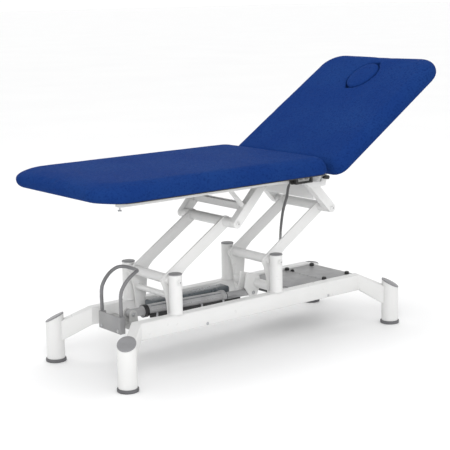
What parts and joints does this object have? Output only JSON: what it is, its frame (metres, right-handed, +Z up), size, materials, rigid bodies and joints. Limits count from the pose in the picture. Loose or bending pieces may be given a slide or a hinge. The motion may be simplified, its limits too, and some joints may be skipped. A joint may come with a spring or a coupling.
{
  "type": "medical exam table",
  "caption": "Height-adjustable examination table: parallelogram arms on a four-legged base, padded seat section, reclining backrest with a plugged face hole.",
  "frame": {"origin": "on the floor under the middle of the whole table's outline", "axes": "+X along the table towards the head end, +Y across it towards the side without the handset, +Z up"},
  "size_m": [1.6836, 0.65, 1.0777],
  "materials": {
    "white_paint": "white powder coat, semi-gloss",
    "cap_grey": "matt moulded plastic",
    "rubber_grey": "matt rubber",
    "plate_grey": "satin grey paint",
    "zinc_steel": "zinc plated",
    "actuator_grey": "satin dark grey",
    "black_plastic": "fine-grained black plastic",
    "board_black": "plywood under black backing cloth",
    "blue_vinyl": "fine-grained upholstery vinyl",
    "handset_grey": "matt moulded plastic",
    "button_grey": "matt moulded plastic",
    "cord_black": "matt cable sheath"
  },
  "bodies": {
    "base": {"base_rail_near": "white_paint", "base_rail_far": "white_paint", "base_cross_head": "white_paint", "leg_near_foot": "white_paint", "post_near_foot": "white_paint", "leg_cap_near_foot": "cap_grey", "post_cap_near_foot": "cap_grey", "foot_pad_near_foot": "rubber_grey", "leg_near_head": "white_paint", "post_near_head": "white_paint", "leg_cap_near_head": "cap_grey", "post_cap_near_head": "cap_grey", "foot_pad_near_head": "rubber_grey", "leg_far_foot": "white_paint", "post_far_foot": "white_paint", "leg_cap_far_foot": "cap_grey", "post_cap_far_foot": "cap_grey", "foot_pad_far_foot": "rubber_grey", "leg_far_head": "white_paint", "post_far_head": "white_paint", "leg_cap_far_head": "cap_grey", "post_cap_far_head": "cap_grey", "foot_pad_far_head": "rubber_grey", "base_cross_foot": "plate_grey", "foot_housing": "plate_grey", "head_cover_plate": "plate_grey", "foot_guard_bar": "cap_grey", "lower_shaft_foot": "zinc_steel", "lower_shaft_head": "zinc_steel", "control_box": "actuator_grey", "buffer_1": "black_plastic", "buffer_2": "black_plastic", "buffer_3": "black_plastic", "buffer_4": "black_plastic"},
    "arms_head": {"arm_frame_head": "white_paint", "cord_gland": "black_plastic"},
    "arms_foot": {"arm_frame_foot": "white_paint"},
    "top": {"seat_frame": "white_paint", "bracket_frame_foot": "white_paint", "bracket_frame_head": "white_paint", "upper_shaft_foot": "zinc_steel", "upper_shaft_head": "zinc_steel", "seat_board": "board_black", "seat_cushion": "blue_vinyl", "recline_shaft": "zinc_steel", "gas_spring_body": "black_plastic", "handset_cradle": "black_plastic", "handset": "handset_grey", "curly_cord": "cord_black"},
    "backrest": {"backrest_frame": "white_paint", "backrest_board": "board_black", "backrest_cushion": "blue_vinyl"},
    "face_plug": {"face_plug": "blue_vinyl"},
    "gas_rod": {"gas_spring_rod": "zinc_steel"},
    "release": {"recline_release_lever": "black_plastic"},
    "button_down": {"handset_button_down": "button_grey"},
    "button_up": {"handset_button_up": "button_grey"},
    "actuator_body": {"actuator_tube": "actuator_grey", "actuator_motor": "black_plastic"},
    "actuator_rod": {"actuator_rod": "actuator_grey"}
  },
  "joints": [
    {"name": "lift", "type": "hinge", "parent": "base", "child": "arms_head", "pos_m": [0.0687, 0, 0.327], "axis": [0, -1, 0], "range_deg": [-44, 27]},
    {"name": "top_level", "type": "hinge", "parent": "arms_head", "child": "top", "pos_m": [0.34267, 0, 0.50424], "axis": [0, -1, 0], "range_deg": [-27, 44], "deforming": ["curly_cord"]},
    {"name": "arms_foot_turn", "type": "hinge", "parent": "base", "child": "arms_foot", "pos_m": [-0.4142, 0, 0.327], "axis": [0, -1, 0], "range_deg": [-44, 27]},
    {"name": "recline", "type": "hinge", "parent": "top", "child": "backrest", "pos_m": [0.2952, 0, 0.655], "axis": [0, -1, 0], "range_deg": [-33, 37]},
    {"name": "gas_rod_slide", "type": "slide", "parent": "top", "child": "gas_rod", "axis": [1, 0, 0], "range_m": [-0.0262, 0.0293]},
    {"name": "face_plug_lift", "type": "slide", "parent": "backrest", "child": "face_plug", "axis": [-0.5446, 0, 0.8387], "range_m": [0, 0.09]},
    {"name": "release_turn", "type": "hinge", "parent": "top", "child": "release", "pos_m": [0.2982, -0.19, 0.6335], "axis": [0, -1, 0], "range_deg": [0, 30], "stiffness_Nm_per_rad": 0.2},
    {"name": "button_down_press", "type": "slide", "parent": "top", "child": "button_down", "axis": [0, 1, 0], "range_m": [0, 0.002], "stiffness_N_per_m": 500},
    {"name": "button_up_press", "type": "slide", "parent": "top", "child": "button_up", "axis": [0, 1, 0], "range_m": [0, 0.002], "stiffness_N_per_m": 500},
    {"name": "actuator_tilt", "type": "hinge", "parent": "base", "child": "actuator_body", "pos_m": [-0.5138, 0, 0.196], "axis": [0, -1, 0], "range_deg": [-1.3, 2.05]},
    {"name": "actuator_stroke", "type": "slide", "parent": "actuator_body", "child": "actuator_rod", "axis": [0.9997, 0, -0.0262], "range_m": [-0.1035, 0.064]}
  ],
  "couplings": [
    {"joint": "top_level", "follows": "lift", "ratio": -1},
    {"joint": "arms_foot_turn", "follows": "lift", "ratio": 1},
    {"joint": "actuator_tilt", "follows": "lift", "ratio": -0.045},
    {"joint": "actuator_stroke", "follows": "lift", "m_per_rad": 0.133},
    {"joint": "gas_rod_slide", "follows": "recline", "m_per_rad": 0.045}
  ]
}
